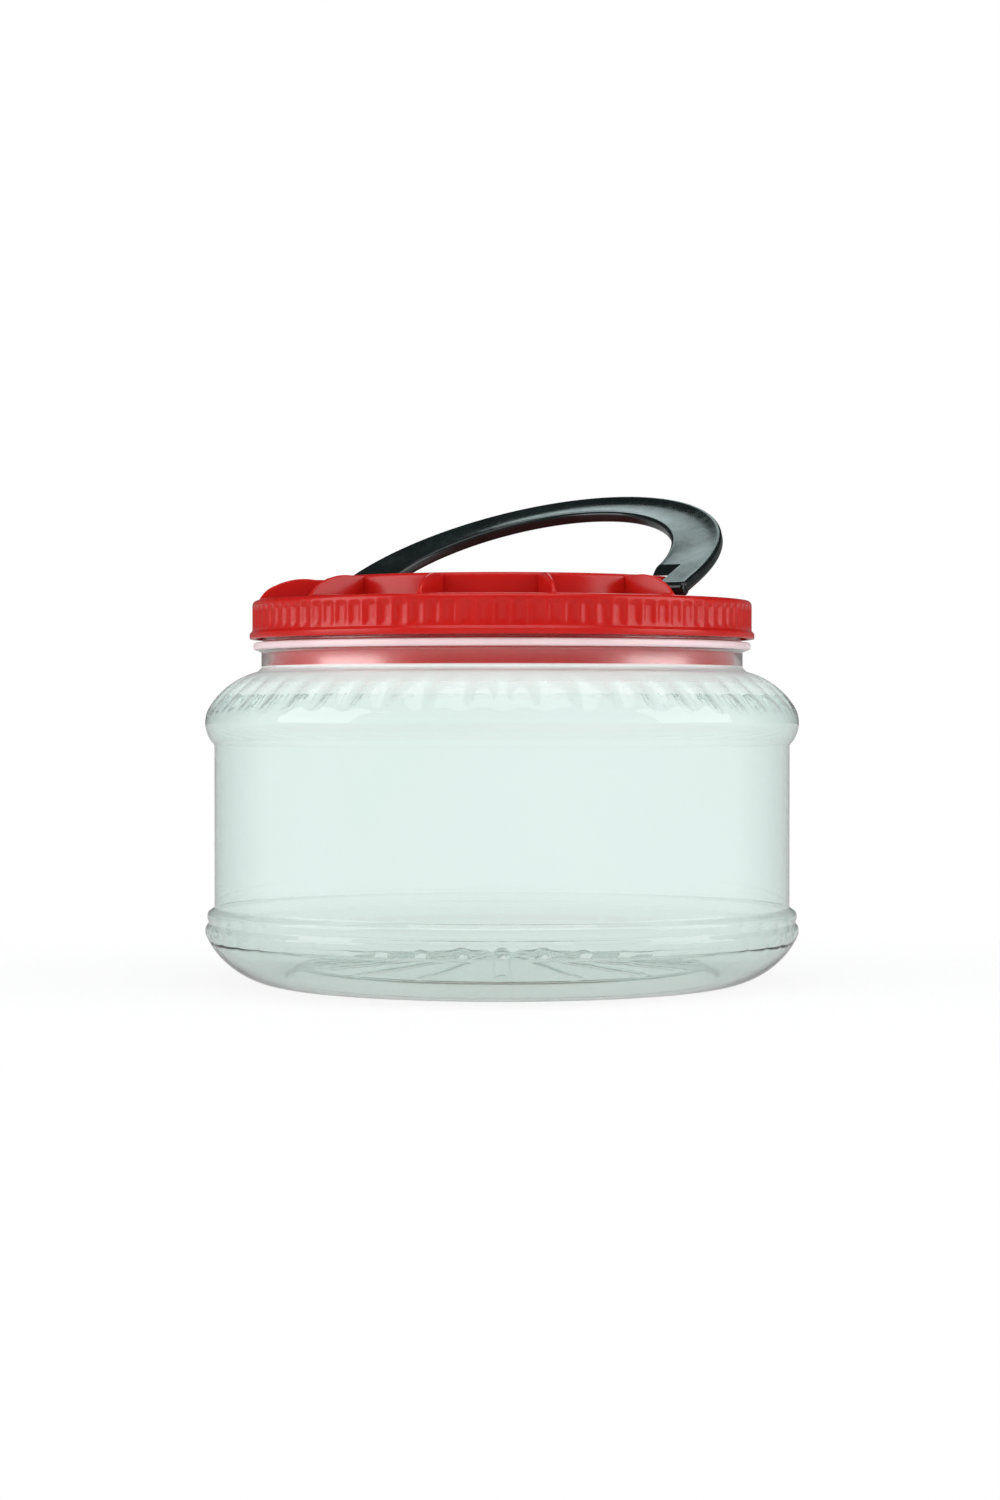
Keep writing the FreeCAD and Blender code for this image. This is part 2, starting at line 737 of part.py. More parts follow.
def main():
    doc = FreeCAD.newDocument("jar_with_handle")
    at = Sizes(doc)
    bodies = [make_jar(doc, at), make_seal(doc, at), make_lid(doc, at), make_handle(doc, at)]
    doc.recompute()
    check(doc, bodies)
    os.makedirs("parts", exist_ok=True)
    for body in bodies:
        body.Shape.exportStep("parts/%s.step" % body.Label)
        box = body.Shape.BoundBox
        print(body.Label, "volume", round(body.Shape.Volume), "top", round(box.ZMax, 2))


main()
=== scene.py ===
import math
import bmesh
import bpy
import numpy as np
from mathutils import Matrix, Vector


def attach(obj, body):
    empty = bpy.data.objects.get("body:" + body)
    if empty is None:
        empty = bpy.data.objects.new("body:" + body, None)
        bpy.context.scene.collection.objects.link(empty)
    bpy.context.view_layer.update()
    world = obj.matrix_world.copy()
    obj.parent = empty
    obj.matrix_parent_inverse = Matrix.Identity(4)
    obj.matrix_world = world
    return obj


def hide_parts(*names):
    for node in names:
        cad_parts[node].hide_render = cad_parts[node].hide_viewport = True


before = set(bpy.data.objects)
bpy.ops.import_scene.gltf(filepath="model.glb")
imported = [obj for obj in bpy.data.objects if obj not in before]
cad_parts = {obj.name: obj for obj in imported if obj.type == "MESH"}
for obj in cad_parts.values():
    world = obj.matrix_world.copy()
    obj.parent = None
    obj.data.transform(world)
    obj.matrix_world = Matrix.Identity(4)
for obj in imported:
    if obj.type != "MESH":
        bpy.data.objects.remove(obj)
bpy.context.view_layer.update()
MM = 0.001
TAU = 2 * math.pi

# All sizes are in millimetres, as in the solids. An outline's points are (r, z) or (r, z, corner radius).
AXIS_R = 0.02                   # how near to its axis a small turned piece is closed
CENTRE_R = 0.25                 # how near to the axis the outlines of jar and lid go
CORNER = 0.8                    # reach of the small slopes and steps between two forms
FINE_STEP = 0.8                 # longest step of an outline where it carries fine detail
ARC_STEPS = 20

# Jar: neck
RIM_Z = 110.4
RIM_IN = 69.6
NECK_R = 70.9
RING_R = 73.8
RING_TOP = 101.0
RING_FOOT = 99.0
NECK_FOOT_R = 71.4
NECK_FOOT_Z = 93.6
NECK_WALL = 1.6
NECK_WALL_Z = 93.2              # the neck's thick wall starts here
BORE_R = 69.3
BORE_Z = 98.0                   # straight bore above this height
BORE_FOOT_R = 69.6
BORE_FOOT_Z = 93.0              # slight taper between this height and BORE_Z
BORE_STEP = 0.9                 # rings of the straight bore are at least this far apart
INNER_LEAST_R = 0.2             # the inner skin drops rings nearer to the axis

# Jar: body
WALL = 0.35
BASE_WALL = 0.6
BASE_TOP = 14.0                 # the wall thickens to BASE_WALL from here down
SHOULDER_TOP = (72.6, 92.4)
SHOULDER_FOOT = (86.2, 82.9)
SHOULDER_ARC = 23.0
BEAD_FOOT_Z = 70.8
BEAD_ARC = 9.3
BEAD_STEPS = 14
PANEL_R = 85.3
PANEL_FOOT_Z = 22.8
LOW_BEADS = [(87.4, 21.3, 1.4), (87.4, 19.7, 1.4), (87.0, 18.4, 0.7), (88.0, 16.9, 1.6), (88.0, 14.9, 1.6)]
HEEL_TOP = (87.2, 13.2)
HEEL_ARC = 26.0
STAND_R = 67.0
STAND_IN = 64.6
PUSH_UP_FOOT = (60.6, 4.0, 3.4)
PUSH_UP_Z = 8.6
JAR_STEP = 2.6
FLUTES = 48
FLUTE_COLUMNS = 10
FLUTE_R = 6.0
FLUTE_DEEP = 1.2
FLUTE_MIDDLE = (83.1, 86.6)
FLUTE_SLOPE = 46.0
FLUTE_FOOT_Z = 76.0
FLUTE_TOP_Z = 91.6
FLUTE_FADES = (5.0, 4.4)        # at the foot and at the top
FLUTE_BLEND = (0.35, 0.05)
DIMPLE_Z = 14.6
DIMPLE_DEEP = 0.42
DIMPLE_SIZE = (2.2, 2.0)        # along and across the low bead
DIMPLE_SHARP = 1.1
DIMPLE_LEAST_R = 80.0           # the base at the same height has no dimples
RIBS = 16
RIB_R = 3.0
RIB_AXIS = 2.0                  # depth of a rib's round below the base
RIB_SHARE = 0.75
RIB_INNER = 14.0
RIB_OUTER = 56.0
RIB_FADE = 3.0
RIB_BLEND = (0.25, 0.03)
RIB_MOST_Z = 12.0               # the shoulder at the same radius has no ribs

# Thread
LEAD = 6.0
THREAD_TURNS = 1.1
THREAD_WIDTH = 1.7
THREAD_START = 0.9              # radians
THREAD_STEPS = 144              # for each turn
THREAD_TAPER = 9                # each end tapers over a ninth of a turn
THREAD_NARROW = 0.4             # share of its width that the ridge has at its ends
JAR_THREAD_Z = 103.2
JAR_THREAD_PROUD = 1.15
LID_THREAD_Z = 103.4
LID_THREAD_PROUD = 1.1
THREAD_SECTION = [
    (-0.25, -0.5), (0.15, -0.42), (0.75, -0.2), (1.0, -0.1), (1.0, 0.1), (0.75, 0.2), (0.15, 0.42), (-0.25, 0.5),
]                               # (out, up), as shares of the ridge's height and width

# Lid
SKIRT_R = 74.1
SKIRT_IN = 72.7
SKIRT_FOOT = 102.0
SKIRT_SEAM = 104.0              # where the lid's section starts and ends, on the skirt's inside
BRIM_R = 74.9
BRIM_TOP = 103.6
LEDGE_Z = 113.4
DISC_R = 53.5
DISC_TOP = 120.0
RECESS_R = 43.2
RECESS_DEEP = 0.6
DISC_UNDER = 2.4                # from the disc's top to its underside
DISC_IN = 51.7
SEAT_Z = 111.6
PLUG_R = 68.9
PLUG_IN = 67.3
PLUG_FOOT = 93.1
LID_STEP = 3.0
# The inner finish is rougher, and its red is painted brighter as painted light on the plug seen through the
# neck.
LID_LINING = (72.9, 118.5)      # the inner finish is nearer to the axis and lower than this
PLUG_LINING = 69.4              # and covers the plug out to this radius
FACES_IN = -0.3                 # a normal below this faces down or inwards
KNURLS = 96
KNURL_COLUMNS = 7
KNURL_DEEP = 0.52
KNURL_FOOT_Z = 105.2
KNURL_TOP_Z = 111.2
KNURL_FADE = 0.9
GROOVE_HALF = 0.30              # half of a groove, as a share of the pitch
GROOVE_EDGE = 0.16
FIN_AZIMUTHS = (-108.5, -78.5, -48.5, -18.5, 11.5, 41.5)
FIN_CREST = 56.0
FIN_REACH = 72.6
FIN_THICK = 1.2
FIN_FOOT = 0.7                  # radius of the fillet at a fin's foot
FIN_SUNK = -0.4                 # a fin starts this far below the ledge
FIN_KNEE = (0.72, 0.7)          # where the fin's two arcs meet, as shares of its reach and its rise
FIN_ARCS = (0.5, 1.2)           # the two arcs' radii, as shares of its reach
FIN_ARC_STEPS = 12
FIN_ROOT = (54.0, 51.8)         # the fin's level end, in the disc's wall
FIN_LEAST = 0.02                # least height of its section
BOSS_COLUMNS = 48
BOSS_OUTLINE = [
    (AXIS_R, 45.0), (2.4, 45.0), (2.78, 45.4), (2.78, 52.0), (2.78, 53.9), (2.55, 54.15), (2.0, 54.15),
    (1.75, 53.95), (1.75, 53.0), (AXIS_R, 53.0),
]

# Handle: the strap's own plane has u across the jar and v away from the pivot
HANDLE_TURN = -33.5
HANDLE_TILT = 25.6
PIVOT_Z = 116.0
EAR_INNER = 54.5
REST_EDGE = 10.18
STRAP_INNER = 46.7
STRAP_OUTER = 63.4
INNER_RISE = 10.8
OUTER_RISE = 7.8
LEG_TALL = 12.0                 # the strap's straight feet end here
STRAP_THICK = 3.4
STRAP_EDGE = 1.1                # corner radius of the lower face
STRAP_LIP = 0.95                # corner radius of the trough's lips
TROUGH_DEEP = 0.78
TROUGH_FADE = 0.22              # share of the bow over which the trough deepens
TROUGH_POWER = 1.1
TROUGH_RIM = (0.35, 0.05)       # flat rim between lip and trough: across and down
LEG_STEPS = 12
BOW_STEPS = 60
NOTCH_BACK = -3.0
NOTCH_OVER = 1.2                # the notch's cutter is this many times as deep as the strap
NOTCH_ROUND = 0.35
HUB_R = 2.1
HUB_REACH = (EAR_INNER + 0.05, STRAP_OUTER - 0.1)
PEG_R = 1.6
PEG_REACH = (49.6, 56.0)

# Seal ring
SEAL_FOOT = 110.42
SEAL_TOP = 111.58
SEAL_IN = 69.22
SEAL_OUT = 72.38
SEAL_SEAM = 70.8
SEAL_ROUND = 0.25
SEAL_COLUMNS = 288

# The jar's finishes by height. The support ring's pale pink is painted light. Each haze step has its foot, its
# clearness and its range of roughness.
SLOT_CLEAR, SLOT_NECK, SLOT_RING, SLOT_HAZE = range(4)
# The support ring's zone gets a painted pale pink: a painted highlight on its round edge and painted red light
# from the lid.
RING_PAINTED_ZONE = (98.6, 101.2, 71.6)    # lowest and highest z, and least r
NECK_FINISH_Z = 93.9
HAZE_ALL_ROUND_Z = 91.8              # above this the haze covers the inside too
HAZE_STEPS = (
    (90.6, 0.66, (0.30, 0.42)),
    (88.9, 0.74, (0.30, 0.38)),
    (87.2, 0.83, (0.19, 0.25)),
    (85.4, 0.92, (0.09, 0.14)),
)

# The middle of a noise, where it is mapped to roughness and to colour
NOISE_SPAN = (0.3, 0.7)
NOISE_STOPS = (0.35, 0.65)

# Camera, in metres and degrees
CAMERA_PLACE = (-0.0006, -0.975, 0.0796)
CAMERA_DOWN = 0.61
CAMERA_LENS = 78.6
FLOOR_HALF = 6.0
FLOOR_Z = -0.0002


# ---------------------------------------------------------------- outlines

def ease(t):
    """A smooth step from 0 to 1."""
    return t * t * (3 - 2 * t)


def soft_edge(signed, width):
    """0 outside, 1 inside, with a smooth step of this width."""
    return ease(np.clip(signed / width + 0.5, 0, 1))


def fillet(points, size=0.4, steps=4):
    """Rounds each inner corner of an outline."""
    rounded = []
    count = len(points)
    for i, point in enumerate(points):
        radius = point[2] if len(point) > 2 else size
        here = Vector(point[:2])
        if i in (0, count - 1) or radius <= 0:
            rounded.append(here)
            continue
        before = Vector(points[i - 1][:2]) - here
        after = Vector(points[i + 1][:2]) - here
        angle = before.angle(after)
        if angle > math.pi - 0.02:
            rounded.append(here)
            continue
        reach = min(radius / math.tan(angle / 2), before.length * 0.48, after.length * 0.48)
        start = here + before.normalized() * reach
        end = here + after.normalized() * reach
        for step in range(steps + 1):
            t = step / steps
            rounded.append(start * (1 - t) ** 2 + here * 2 * t * (1 - t) + end * t * t)
    return rounded


def arc(start, end, radius, side, steps):
    """Points on a minor arc from start to end that bulges to the left (1) or right (-1)."""
    a = Vector(start)
    b = Vector(end)
    chord = b - a
    normal = Vector((-chord.y, chord.x)).normalized() * side
    centre = (a + b) / 2 - normal * math.sqrt(max(radius ** 2 - (chord.length / 2) ** 2, 0))
    first = a - centre
    last = b - centre
    turn = math.atan2(first.x * last.y - first.y * last.x, first.dot(last))
    points = []
    for step in range(steps + 1):
        angle = turn * step / steps
        c = math.cos(angle)
        s = math.sin(angle)
        points.append((centre.x + first.x * c - first.y * s, centre.y + first.x * s + first.y * c, 0))
    return points


def bend(x, y, radius, start, sweep, steps):
    """Points round a centre from the start angle over the sweep, in degrees."""
    points = []
    for step in range(steps + 1):
        angle = math.radians(start + sweep * step / steps)
        points.append((x + radius * math.cos(angle), y + radius * math.sin(angle)))
    return points


def resample(points, spacing, fine=None):
    """Adds points so that no step is longer than the spacing, or than FINE_STEP where fine."""
    dense = [Vector(points[0])]
    for a, b in zip(points, points[1:]):
        limit = FINE_STEP if fine and fine(a) and fine(b) else spacing
        steps = max(1, math.ceil((Vector(b) - Vector(a)).length / limit))
        for step in range(1, steps + 1):
            dense.append(Vector(a).lerp(Vector(b), step / steps))
    return np.array([list(p) for p in dense])


def normals_of(outline):
    """Unit normals of an (r, z) outline, to the left of its way."""
    tangent = np.gradient(outline, axis=0)
    tangent /= np.maximum(np.linalg.norm(tangent, axis=1, keepdims=True), 1e-9)
    return np.stack([-tangent[:, 1], tangent[:, 0]], axis=1)


# ---------------------------------------------------------------- meshes

def make_object(name, vertices, faces):
    """A smooth mesh object from millimetre vertices, with every face turned outwards."""
    mesh = bpy.data.meshes.new(name)
    mesh.from_pydata([tuple(v) for v in (np.asarray(vertices) * MM)], [], faces)
    mesh.validate()
    mesh.polygons.foreach_set("use_smooth", [True] * len(mesh.polygons))
    obj = bpy.data.objects.new(name, mesh)
    bpy.context.scene.collection.objects.link(obj)
    shape = bmesh.new()
    shape.from_mesh(mesh)
    bmesh.ops.remove_doubles(shape, verts=shape.verts, dist=1e-6)
    bmesh.ops.recalc_face_normals(shape, faces=shape.faces)
    shape.to_mesh(mesh)
    shape.free()
    return obj


def grid_faces(rows, columns):
    """Quads between rows of points, where each row is a closed loop."""
    faces = []
    for i in range(rows - 1):
        below = i * columns
        above = below + columns
        for j in range(columns):
            k = (j + 1) % columns
            faces.append((below + j, below + k, above + k, above + j))
    return faces


def tube(name, points, size):
    """A tube through loops of this many points, closed at both ends."""
    faces = grid_faces(len(points) // size, size)
    faces.append(tuple(range(size)))
    faces.append(tuple(range(len(points) - size, len(points)))[::-1])
    return make_object(name, points, faces)


def around(r, z, angles):
    """Vertices of rings about the z axis."""
    return np.stack([r * np.cos(angles), r * np.sin(angles), z], axis=2).reshape(-1, 3)


def turned(outline, columns, press=None):
    """A surface of revolution. press(outline, angles) is how far each point is pushed in."""
    angles = np.arange(columns) * TAU / columns
    r = np.repeat(outline[:, :1], columns, axis=1)
    z = np.repeat(outline[:, 1:], columns, axis=1)
    if press is not None:
        r = r - press(outline, angles)
    return around(r, z, angles), grid_faces(len(outline), columns)


def along_x(vertices, side):
    """A surface of revolution with its axis laid along x, towards +x (1) or -x (-1)."""
    return np.stack([vertices[:, 2] * side, vertices[:, 0], vertices[:, 1]], axis=1)


def turn_about_z(points, degrees):
    """The points turned about the z axis."""
    angle = math.radians(degrees)
    c = math.cos(angle)
    s = math.sin(angle)
    x, y, z = points[:, 0], points[:, 1], points[:, 2]
    return np.stack([x * c - y * s, x * s + y * c, z], axis=1)


def join(name, objects):
    """Joins the objects into the first one and names it."""
    for other in bpy.context.selected_objects:
        other.select_set(False)
    for obj in objects:
        obj.select_set(True)
    bpy.context.view_layer.objects.active = objects[0]
    bpy.ops.object.join()
    objects[0].name = name
    objects[0].select_set(False)
    return objects[0]


# ---------------------------------------------------------------- shader nodes

def set_inputs(node, **values):
    """Sets a node's inputs. An underscore in a keyword stands for a space."""
    for key, value in values.items():
        node.inputs[key.replace("_", " ")].default_value = value
    return node


def new_material(name):
    """A material with its node tree and its Principled shader."""
    material = bpy.data.materials.new(name)
    material.use_nodes = True
    tree = material.node_tree
    return material, tree, tree.nodes["Principled BSDF"]


def map_range(tree, source, start, end, smooth=False):
    """Maps a value from the range start to the range end."""
    node = tree.nodes.new("ShaderNodeMapRange")
    set_inputs(node, From_Min=start[0], From_Max=start[1], To_Min=end[0], To_Max=end[1])
    if smooth:
        node.interpolation_type = "SMOOTHSTEP"
    tree.links.new(source, node.inputs["Value"])
    return node.outputs["Result"]


def maths(tree, operation, first, second, clamp=False):
    """The result of a maths node on two sockets."""
    node = tree.nodes.new("ShaderNodeMath")
    node.operation = operation
    node.use_clamp = clamp
    tree.links.new(first, node.inputs[0])
    tree.links.new(second, node.inputs[1])
    return node.outputs[0]


def mix_colour(tree, factor, base, colour, blend="MIX"):
    """Mixes a colour socket with a constant colour."""
    node = tree.nodes.new("ShaderNodeMix")
    node.data_type = "RGBA"
    node.blend_type = blend
    tree.links.new(factor, node.inputs["Factor"])
    tree.links.new(base, node.inputs["A"])
    node.inputs["B"].default_value = (*colour, 1)
    return node.outputs["Result"]


def mix_shader(tree, factor, first, second):
    """Mixes two shader sockets."""
    node = tree.nodes.new("ShaderNodeMixShader")
    tree.links.new(factor, node.inputs["Fac"])
    tree.links.new(first, node.inputs[1])
    tree.links.new(second, node.inputs[2])
    return node.outputs["Shader"]


def split_axes(tree, place):
    """The X, Y and Z outputs of a place socket."""
    node = tree.nodes.new("ShaderNodeSeparateXYZ")
    tree.links.new(place, node.inputs[0])
    return node.outputs


def noise(tree, scale, detail):
    """The value of a noise in the piece's own space."""
    place = tree.nodes.new("ShaderNodeTexCoord")
    node = set_inputs(tree.nodes.new("ShaderNodeTexNoise"), Scale=scale, Detail=detail, Roughness=0.55)
    tree.links.new(place.outputs["Object"], node.inputs["Vector"])
    return node.outputs["Fac"]


def ramp(tree, source, low, high):
    """A colour between low and high over the middle of a noise."""
    node = tree.nodes.new("ShaderNodeValToRGB")
    for element, colour, stop in zip(node.color_ramp.elements, (low, high), NOISE_STOPS):
        element.color = (*colour, 1)
        element.position = stop
    tree.links.new(source, node.inputs["Fac"])
    return node.outputs["Color"]


def tint(tree, shader, source, low, high):
    """Base colour by a noise."""
    tree.links.new(ramp(tree, source, low, high), shader.inputs["Base Color"])


def roughen(tree, shader, source, low, high):
    """Roughness by a noise."""
    tree.links.new(map_range(tree, source, NOISE_SPAN, (low, high)), shader.inputs["Roughness"])


def bump(tree, shader, *layers):
    """Stacks bumps of (height socket, strength, distance in metres)."""
    normal = None
    for height, strength, distance in layers:
        node = set_inputs(tree.nodes.new("ShaderNodeBump"), Strength=strength, Distance=distance)
        tree.links.new(height, node.inputs["Height"])
        if normal is not None:
            tree.links.new(normal, node.inputs["Normal"])
        normal = node.outputs["Normal"]
    tree.links.new(normal, shader.inputs["Normal"])


# ---------------------------------------------------------------- materials

def clear_material():
    """Thin clear plastic, deeper in colour where its wall is seen edge on and near the base."""
    material, tree, shader = new_material("clear_pet")
    set_inputs(shader, Transmission_Weight=1.0, IOR=1.33)
    body = ramp(tree, noise(tree, 14.0, 2.0), (0.862, 0.935, 0.912), (0.880, 0.945, 0.926))
    facing = set_inputs(tree.nodes.new("ShaderNodeLayerWeight"), Blend=0.5)
    edge = map_range(tree, facing.outputs["Facing"], (0.42, 1.0), (0.0, 1.0))
    edged = mix_colour(tree, edge, body, (0.56, 0.64, 0.62))
    place = tree.nodes.new("ShaderNodeTexCoord")
    height = split_axes(tree, place.outputs["Object"])["Z"]
    low = map_range(tree, height, (0.026, 0.011), (0.0, 1.0), smooth=True)
    based = mix_colour(tree, low, edged, (0.885, 0.885, 0.880), "MULTIPLY")
    tree.links.new(based, shader.inputs["Base Color"])
    roughen(tree, shader, noise(tree, 45.0, 4.0), 0.008, 0.024)
    bump(tree, shader, (noise(tree, 26.0, 2.0), 0.12, 0.0002))
    return material


def neck_material():
    """The thicker neck: a clear wall with a broad, soft gloss."""
    material, tree, shader = new_material("neck_pet")
    set_inputs(shader, Transmission_Weight=1.0, IOR=1.33, Coat_Weight=1.0, Coat_IOR=2.3, Coat_Roughness=0.26)
    tone = noise(tree, 30.0, 2.0)
    tint(tree, shader, tone, (0.935, 0.935, 0.920), (0.955, 0.955, 0.940))
    roughen(tree, shader, tone, 0.10, 0.20)
    bump(tree, shader, (tone, 0.10, 0.0003))
    return material


def milky_material(name, clearness, low, high, roughness):
    """Partly clear plastic. Its range of roughness stays on one side of 0.274, where the denoiser changes."""
    material, tree, shader = new_material(name)
    set_inputs(shader, Transmission_Weight=clearness, IOR=1.45)
    tone = noise(tree, 60.0, 3.0)
    tint(tree, shader, tone, low, high)
    roughen(tree, shader, tone, *roughness)
    return material


def red_material():
    """The lid's moulded gloss."""
    material, tree, shader = new_material("red_gloss")
    tint(tree, shader, noise(tree, 38.0, 4.0), (0.452, 0.008, 0.006), (0.486, 0.010, 0.007))
    roughen(tree, shader, noise(tree, 260.0, 3.0), 0.20, 0.27)
    bump(tree, shader, (noise(tree, 60.0, 2.0), 0.03, 0.0003), (noise(tree, 1500.0, 2.0), 0.04, 0.00005))
    set_inputs(shader, IOR=1.5, Specular_IOR_Level=0.27, Subsurface_Weight=0.12, Subsurface_Scale=0.5,
               Subsurface_Radius=(0.004, 0.0006, 0.0005))
    return material


def inner_red_painted_light_material():
    """The unpolished inside of the lid. Its red is painted brighter than the outside's, as painted light on the
    plug seen through the neck.
    """
    material, tree, shader = new_material("red_inside_painted_light")
    tint(tree, shader, noise(tree, 38.0, 4.0), (0.560, 0.012, 0.010), (0.640, 0.016, 0.013))
    fine = noise(tree, 900.0, 2.0)
    roughen(tree, shader, fine, 0.55, 0.75)
    bump(tree, shader, (fine, 0.10, 0.00008))
    set_inputs(shader, Specular_IOR_Level=0.12)
    return material


def black_material():
    """The handle's moulded gloss."""
    material, tree, shader = new_material("black_gloss")
    tint(tree, shader, noise(tree, 50.0, 3.0), (0.005, 0.008, 0.008), (0.009, 0.014, 0.014))
    roughen(tree, shader, noise(tree, 300.0, 3.0), 0.13, 0.24)
    bump(tree, shader, (noise(tree, 70.0, 2.0), 0.15, 0.0005), (noise(tree, 1700.0, 2.0), 0.06, 0.00005))
    set_inputs(shader, IOR=1.5, Specular_IOR_Level=0.40)
    return material


def foam_material():
    """The seal's pale, fine-celled foam."""
    material, tree, shader = new_material("seal_foam")
    cells = set_inputs(tree.nodes.new("ShaderNodeTexVoronoi"), Scale=2600.0)
    place = tree.nodes.new("ShaderNodeTexCoord")
    tree.links.new(place.outputs["Object"], cells.inputs["Vector"])
    tone = noise(tree, 220.0, 4.0)
    tint(tree, shader, tone, (0.72, 0.72, 0.69), (0.84, 0.84, 0.81))
    roughen(tree, shader, tone, 0.75, 0.95)
    bump(tree, shader, (cells.outputs["Distance"], 0.5, 0.00012))
    return material


# ---------------------------------------------------------------- jar

def jar_outline():
    """The outer form from the rim down to the middle of the base."""
    points = [
        (RIM_IN, RIM_Z), (NECK_R, RIM_Z, 0.5), (NECK_R, RING_TOP, 0.4), (RING_R, RING_TOP, 0.9),
        (RING_R, RING_FOOT, 0.9), (NECK_FOOT_R, RING_FOOT - CORNER, 0.8), (NECK_FOOT_R, NECK_FOOT_Z, 0.9),
    ]
    points += arc(SHOULDER_TOP, SHOULDER_FOOT, SHOULDER_ARC, 1, ARC_STEPS)[:-1]
    points += arc(SHOULDER_FOOT, (PANEL_R, BEAD_FOOT_Z), BEAD_ARC, 1, BEAD_STEPS)[:-1]
    points += [(PANEL_R, BEAD_FOOT_Z, 0.8), (PANEL_R, PANEL_FOOT_Z, 0.8), *LOW_BEADS, (*HEEL_TOP, 0.8)]
    points += arc(HEEL_TOP, (STAND_R, 0.0), HEEL_ARC, 1, ARC_STEPS)[1:-1]
    points += [(STAND_R, 0.0, 1.0), (STAND_IN, 0.0, 1.0), PUSH_UP_FOOT, (CENTRE_R, PUSH_UP_Z, 0.0)]
    return resample(fillet(points), JAR_STEP)


def nearest(angles, count):
    """Each angle measured from the nearest of this many evenly spaced marks."""
    period = TAU / count
    return (angles + period / 2) % period - period / 2


def soft_bite(depth, blend, sink):
    """The part of a depth that is below the surface, with a blended edge."""
    return np.maximum(0.5 * (depth + np.sqrt(depth ** 2 + blend ** 2)) - sink, 0)


def flute_depth(outline, angles):
    """How deep the shoulder's flutes are pressed in: a ring of cylinders leant on the shoulder."""
    phase = nearest(angles, FLUTES)
    r, z = outline[:, :1], outline[:, 1:]
    slope = math.radians(FLUTE_SLOPE)
    out = np.array([math.cos(slope), math.sin(slope)])
    axis = np.array(FLUTE_MIDDLE) + out * (FLUTE_R - FLUTE_DEEP)
    height = (r * np.cos(phase) - axis[0]) * out[0] + (z - axis[1]) * out[1]
    bite = FLUTE_R - np.sqrt(height ** 2 + (r * np.sin(phase)) ** 2)
    foot_fade, top_fade = FLUTE_FADES
    window = soft_edge(z - FLUTE_FOOT_Z, foot_fade) * soft_edge(FLUTE_TOP_Z - z, top_fade)
    return soft_bite(bite, *FLUTE_BLEND) * window


def dimple_depth(outline, angles):
    """The shallow dimples round the low bead."""
    r, z = outline[:, :1], outline[:, 1:]
    along, across = DIMPLE_SIZE
    away = ((z - DIMPLE_Z) / across) ** 2 + (r * nearest(angles, FLUTES) / along) ** 2
    return DIMPLE_DEEP * np.exp(-away * DIMPLE_SHARP) * (r > DIMPLE_LEAST_R)


def rib_depth(outline, angles):
    """The ribs pressed up into the base."""
    r, z = outline[:, :1], outline[:, 1:]
    shape = np.sqrt(np.maximum(RIB_R ** 2 - (r * nearest(angles, RIBS)) ** 2, 0)) - RIB_AXIS
    window = soft_edge(r - RIB_INNER, RIB_FADE) * soft_edge(RIB_OUTER - r, RIB_FADE) * (z < RIB_MOST_Z)
    return RIB_SHARE * soft_bite(shape, *RIB_BLEND) * window


def jar_skins():
    """The angles, the outline's heights, and the rings of the outer and the inner surface, each as (r, z)."""
    outer = jar_outline()
    height = outer[:, 1]
    normal = normals_of(outer)
    columns = FLUTES * FLUTE_COLUMNS
    angles = np.arange(columns) * TAU / columns
    press = flute_depth(outer, angles) + dimple_depth(outer, angles) + rib_depth(outer, angles)

    def skin(inset):
        """The jar's surface moved in by the inset along its normals."""
        move = -(press + inset)
        return outer[:, :1] + normal[:, :1] * move, outer[:, 1:] + normal[:, 1:] * move

    low = np.clip((BASE_TOP - height) / BASE_TOP, 0, 1)
    wall = np.where(height > NECK_WALL_Z, NECK_WALL, WALL) + (BASE_WALL - WALL) * ease(low)
    wall = np.convolve(np.pad(wall, 2, mode="edge"), np.ones(5) / 5, mode="valid")[:, None]
    r_in, z_in = skin(wall)
    bore = height > BORE_Z
    r_in[bore] = BORE_R
    z_in[bore] = height[bore][:, None]
    taper = (height > BORE_FOOT_Z) & ~bore
    up = (height[taper][:, None] - BORE_FOOT_Z) / (BORE_Z - BORE_FOOT_Z)
    r_in[taper] = BORE_FOOT_R + (BORE_R - BORE_FOOT_R) * up
    return angles, height, skin(0.0), (r_in, z_in)


def build_jar():
    """Outer skin from the rim down, then inner skin from the base up to the rim."""
    angles, height, (r_out, z_out), (r_in, z_in) = jar_skins()
    columns = len(angles)
    keep = []
    last = math.inf
    for i, z in enumerate(height):
        if z > BORE_Z:
            if last - z > BORE_STEP:
                keep.append(i)
                last = z
        elif r_in[i].min() > INNER_LEAST_R:
            keep.append(i)
    r_in = r_in[keep][::-1]
    z_in = z_in[keep][::-1]
    r_in[-1] = RIM_IN
    z_in[-1] = RIM_Z
    vertices = around(np.concatenate([r_out, r_in]), np.concatenate([z_out, z_in]), angles)
    split = len(r_out)
    faces = [f for i, f in enumerate(grid_faces(split + len(r_in), columns)) if i // columns != split - 1]
    middle = len(vertices)
    vertices = np.vstack([vertices, [[0, 0, PUSH_UP_Z], [0, 0, PUSH_UP_Z + BASE_WALL]]])
    outside = (split - 1) * columns
    inside = split * columns
    for j in range(columns):
        k = (j + 1) % columns
        faces.append((outside + j, outside + k, middle))
        faces.append((inside + k, inside + j, middle + 1))
    return make_object("jar_shell", vertices, faces)


